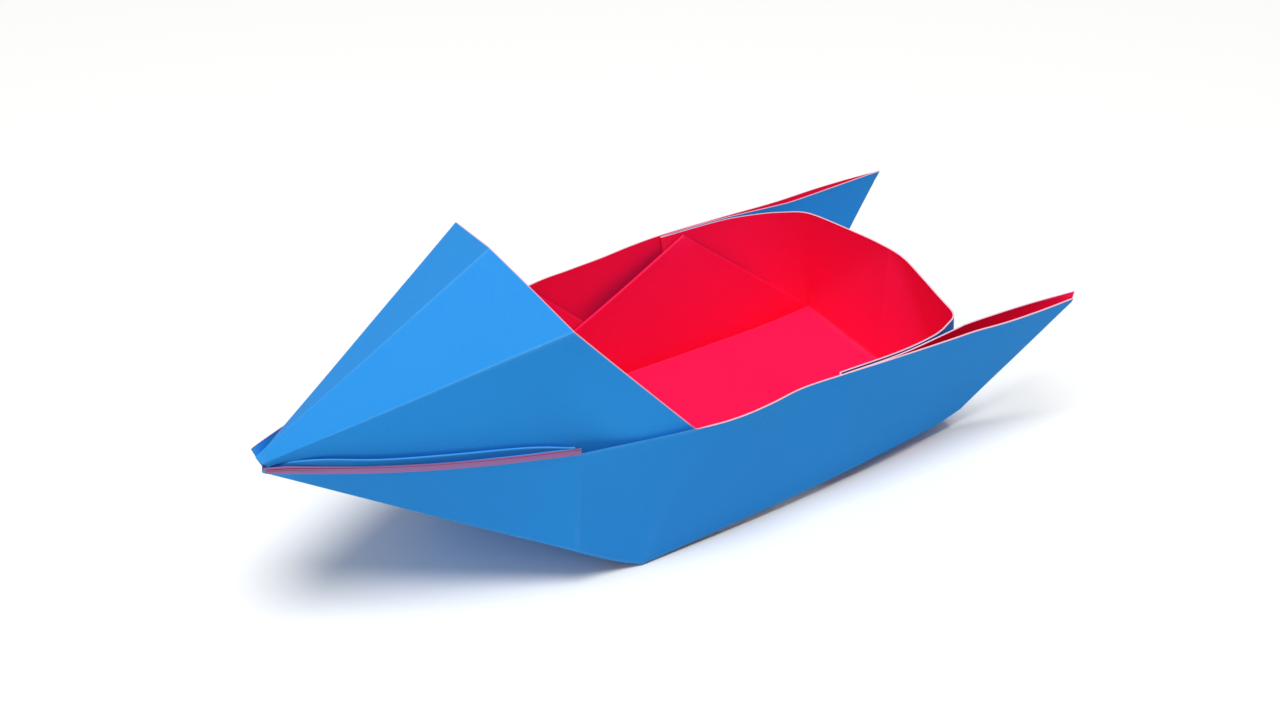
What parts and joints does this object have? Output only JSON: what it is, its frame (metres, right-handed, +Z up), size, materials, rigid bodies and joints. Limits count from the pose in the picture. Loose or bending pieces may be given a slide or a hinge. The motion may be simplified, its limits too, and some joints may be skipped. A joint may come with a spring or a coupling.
{
  "type": "paper boat",
  "caption": "Folded paper boat with a raised pointed hood over the bow, an open cockpit with standing flaps, an upright transom and slit fins that reach aft, made to stand on a flat surface.",
  "frame": {"origin": "on the ground under the middle of the boat's outline", "axes": "+X forward to the bow, +Y to port, +Z up"},
  "size_m": [0.1432, 0.0568, 0.0539],
  "materials": {
    "paper": "matte two-coloured paper, blue outside and red inside"
  },
  "bodies": {
    "root": {"folded_sheet": "paper"}
  },
  "joints": []
}
